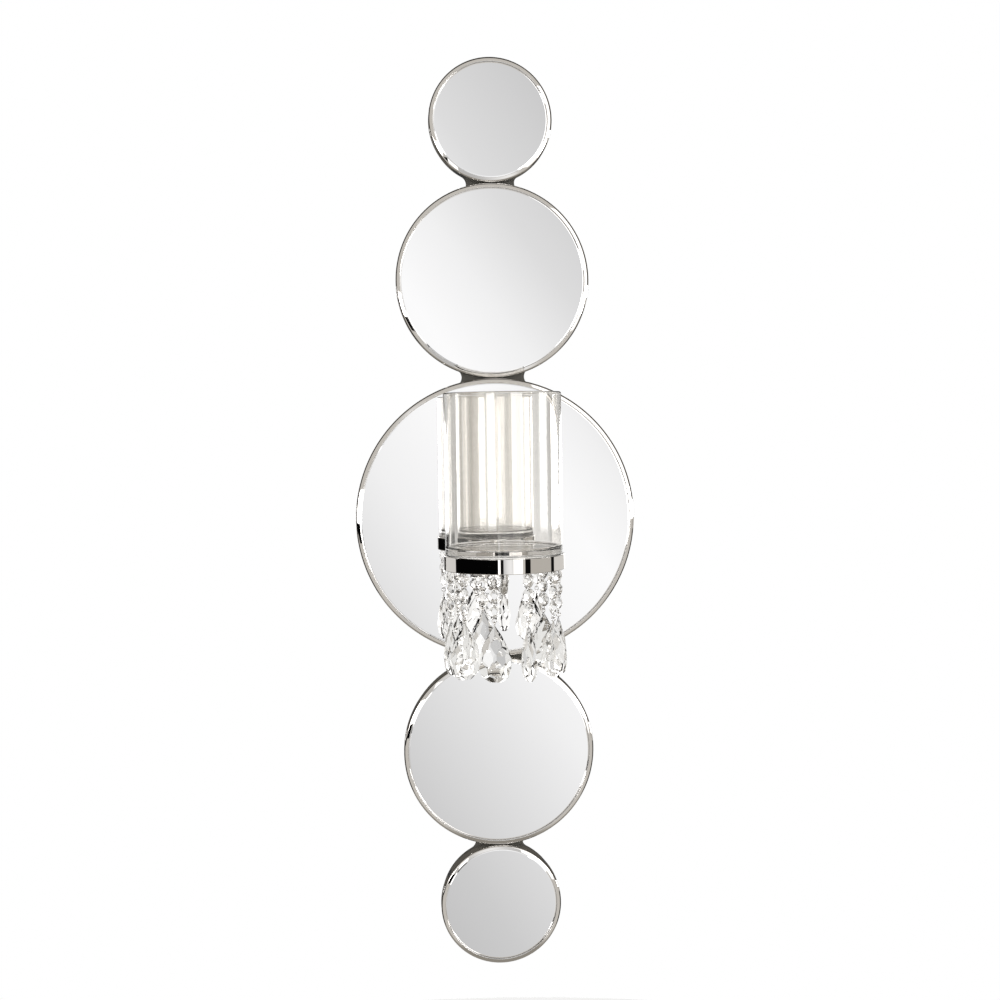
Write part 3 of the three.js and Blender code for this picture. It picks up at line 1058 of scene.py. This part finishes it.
def facet(bm, point, normal):  # grinds away what is in front of a plane
    geometry = bm.verts[:] + bm.edges[:] + bm.faces[:]
    made = bmesh.ops.bisect_plane(bm, geom=geometry, dist=0.0001, plane_co=point, plane_no=normal,
                                  clear_outer=True)
    cut = [item for item in made["geom_cut"] if isinstance(item, bmesh.types.BMEdge)]
    if len(cut) > 2:
        bmesh.ops.edgeloop_fill(bm, edges=cut)


def wireRing(radius, wire, sides=24, ringSides=10):  # stands upright in the XZ plane
    bm = bmesh.new()
    bmesh.ops.create_circle(bm, segments=ringSides, radius=wire)
    bmesh.ops.translate(bm, vec=(radius, 0, 0), verts=bm.verts)
    bmesh.ops.spin(bm, geom=bm.verts[:] + bm.edges[:], cent=(0, 0, 0), axis=(0, 1, 0),
                   angle=2 * math.pi, steps=sides, use_merge=True)
    heal(bm)
    return bm


def addTo(whole, bm, place):
    bmesh.ops.transform(bm, matrix=place, verts=bm.verts)
    mesh = bpy.data.meshes.new("part")
    bm.to_mesh(mesh)
    bm.free()
    whole.from_mesh(mesh)
    bpy.data.meshes.remove(mesh)


def cutBead():
    half, deep, blank = bead["width"] / 2, bead["thickness"] / 2, bead["blank"]
    starOut, starUp = bead["starAt"]
    bm = block((-blank, -deep, -blank), (blank, deep, blank))
    for side in range(8):
        around = side * math.pi / 4
        flat = Vector((math.cos(around), 0, math.sin(around)))
        facet(bm, flat * half, flat)
    for face in [-1, 1]:
        for side in range(8):
            around = side * math.pi / 4
            slope = math.radians(bead["crown"])
            flat = Vector((math.cos(around), 0, math.sin(around)))
            normal = flat * math.sin(slope) + Vector((0, face * math.cos(slope), 0))
            facet(bm, flat * half + Vector((0, face * bead["girdle"], 0)), normal)
            around += math.pi / 8
            slope = math.radians(bead["star"])
            corner = Vector((math.cos(around), 0, math.sin(around)))
            normal = corner * math.sin(slope) + Vector((0, face * math.cos(slope), 0))
            facet(bm, corner * half * starOut + Vector((0, face * deep * starUp, 0)), normal)
    bmesh.ops.recalc_face_normals(bm, faces=bm.faces)
    return bm


def pearWidth(down):  # a drop's half width at a share of its height; the factor makes the widest 1
    return 2.598 * down * math.sqrt(1 - down)


def cutDrop():
    radius, height = drop["width"] / 2, drop["height"]
    bm = block((-radius * 1.5, -radius * 1.5, -height * drop["foot"]), (radius * 1.5, radius * 1.5, 0))
    small = 0.002
    for down, stagger in drop["rows"]:
        slope = (pearWidth(down + small) - pearWidth(down - small)) / (2 * small) * radius / height
        for side in range(drop["sides"]):
            around = (side + stagger / 2) * 2 * math.pi / drop["sides"] + math.pi / 2
            out = Vector((math.cos(around), math.sin(around), 0))
            point = out * radius * pearWidth(down) - Vector((0, 0, down * height))
            facet(bm, point, out + Vector((0, 0, slope)))
    bmesh.ops.recalc_face_normals(bm, faces=bm.faces)
    xs = [vert.co.x for vert in bm.verts]
    ys = [vert.co.y for vert in bm.verts]
    fit = (drop["width"] / (max(xs) - min(xs)), drop["thickness"] / (max(ys) - min(ys)), 1)
    bmesh.ops.scale(bm, vec=fit, verts=bm.verts)
    return bm


def makeStrands():
    joints = {joint["name"]: joint for joint in frame["joints"]}
    beadDraw = random.Random(bead["seed"])
    dropDraw = random.Random(drop["seed"])
    for number in range(1, strandCount + 1):
        swing = joints[f"chain_swing_{number}"]
        angle = math.atan2(-swing["axis"][1], -swing["axis"][0])
        hinge = Vector(swing["pos_m"]) / mm
        foot = Matrix.Translation((hinge.x, hinge.y, 0)) @ Matrix.Rotation(angle, 4, "Z")
        makeEye(number, foot)
        makeChain(number, foot, beadDraw)
        makeDrop(number, foot, dropDraw)


def makeEye(number, foot):
    low, high = nodeBox(f"strand_eye_{number}")
    middle = (low.z + high.z) / 2
    bm = bmesh.new()
    addTo(bm, wireRing(eye["radius"], eye["wire"]), foot @ Matrix.Translation((0, 0, middle)))
    top = floorBottom - eye["play"]
    bottom = middle + eye["radius"] - 0.1
    wire, wide = eye["wire"], eye["foot"]
    stem = turned([(0, bottom), (wire, bottom), (wire * 1.2, top - 0.5), (wide, top - 0.2), (wide, top),
                   (0, top)], steps=20)
    addTo(bm, stem, foot)
    finish(bm, f"wire_eye_{number}", chrome, [f"strand_eye_{number}"])


def makeChain(number, foot, draw):
    low, high = nodeBox(f"bead_chain_{number}")
    top = high.z - link["radius"] - link["rim"]
    first = top - link["radius"] - link["rim"] + bead["gap"] - bead["width"] / 2
    pitch = bead["width"] + bead["gap"]
    crystals = bmesh.new()
    rings = bmesh.new()
    quarter = Matrix.Rotation(math.pi / 2, 4, "Z")
    addTo(rings, wireRing(link["radius"], link["wire"]), foot @ Matrix.Translation((0, 0, top)) @ quarter)
    for i in range(bead["count"]):
        height = first - i * pitch
        turn = math.radians(draw.uniform(-bead["turn"], bead["turn"]))
        place = foot @ Matrix.Translation((0, 0, height)) @ Matrix.Rotation(turn, 4, "Z")
        addTo(crystals, cutBead(), place)
        if i > 0:
            join = foot @ Matrix.Translation((0, 0, height + pitch / 2)) @ quarter
            addTo(rings, wireRing(bead["joinRadius"], link["wire"]), join)
    tail = low.z + link["radius"] + link["rim"]
    addTo(rings, wireRing(link["radius"], link["wire"]), foot @ Matrix.Translation((0, 0, tail)))
    finish(crystals, f"crystal_beads_{number}", crystal, [f"bead_chain_{number}"],
           body=f"chain_{number}", sharpDegrees=0)
    finish(rings, f"chain_rings_{number}", chrome, body=f"chain_{number}")


def makeDrop(number, foot, draw):
    low, high = nodeBox(f"crystal_drop_{number}")
    ring = high.z - link["radius"] - link["rim"]
    quarter = Matrix.Rotation(math.pi / 2, 4, "Z")
    turn = draw.uniform(-drop["turn"], drop["turn"])
    if number in drop["edgeOn"]:
        turn += drop["edgeOnTurn"]
    crystals = bmesh.new()
    top = foot @ Matrix.Translation((0, 0, low.z + drop["height"]))
    addTo(crystals, cutDrop(), top @ Matrix.Rotation(math.radians(turn), 4, "Z"))
    finish(crystals, f"pear_drop_{number}", crystal, [f"crystal_drop_{number}"],
           body=f"drop_{number}", sharpDegrees=0)
    rings = bmesh.new()
    addTo(rings, wireRing(link["radius"], link["wire"]), foot @ Matrix.Translation((0, 0, ring)) @ quarter)
    finish(rings, f"drop_ring_{number}", chrome, body=f"drop_{number}")


makeStrands()
print("strands made")


# Floor

floor = {"height": -1.5, "radius": 2.5, "paint": (0.94, 0.96), "glow": 0.08}


def makeFloor():
    material, tree = newMaterial("pale_floor")
    cloud = tree.noise(1.2)
    shade(material, tree, {
        "Base Color": tree.mix(cloud, *[grey(level) for level in floor["paint"]]),
        "Roughness": 0.6 + cloud * 0.1,
        "Emission Color": (1, 1, 1, 1),
        "Emission Strength": floor["glow"],
    })
    bm = bmesh.new()
    bmesh.ops.create_circle(bm, cap_ends=True, segments=96, radius=floor["radius"] / mm)
    bmesh.ops.translate(bm, vec=(0, 0, floor["height"] / mm), verts=bm.verts)
    ground = toObject(bm, "floor", [material], 30)
    ground.visible_glossy = False
    ground.visible_transmission = False


makeFloor()
print("floor made")
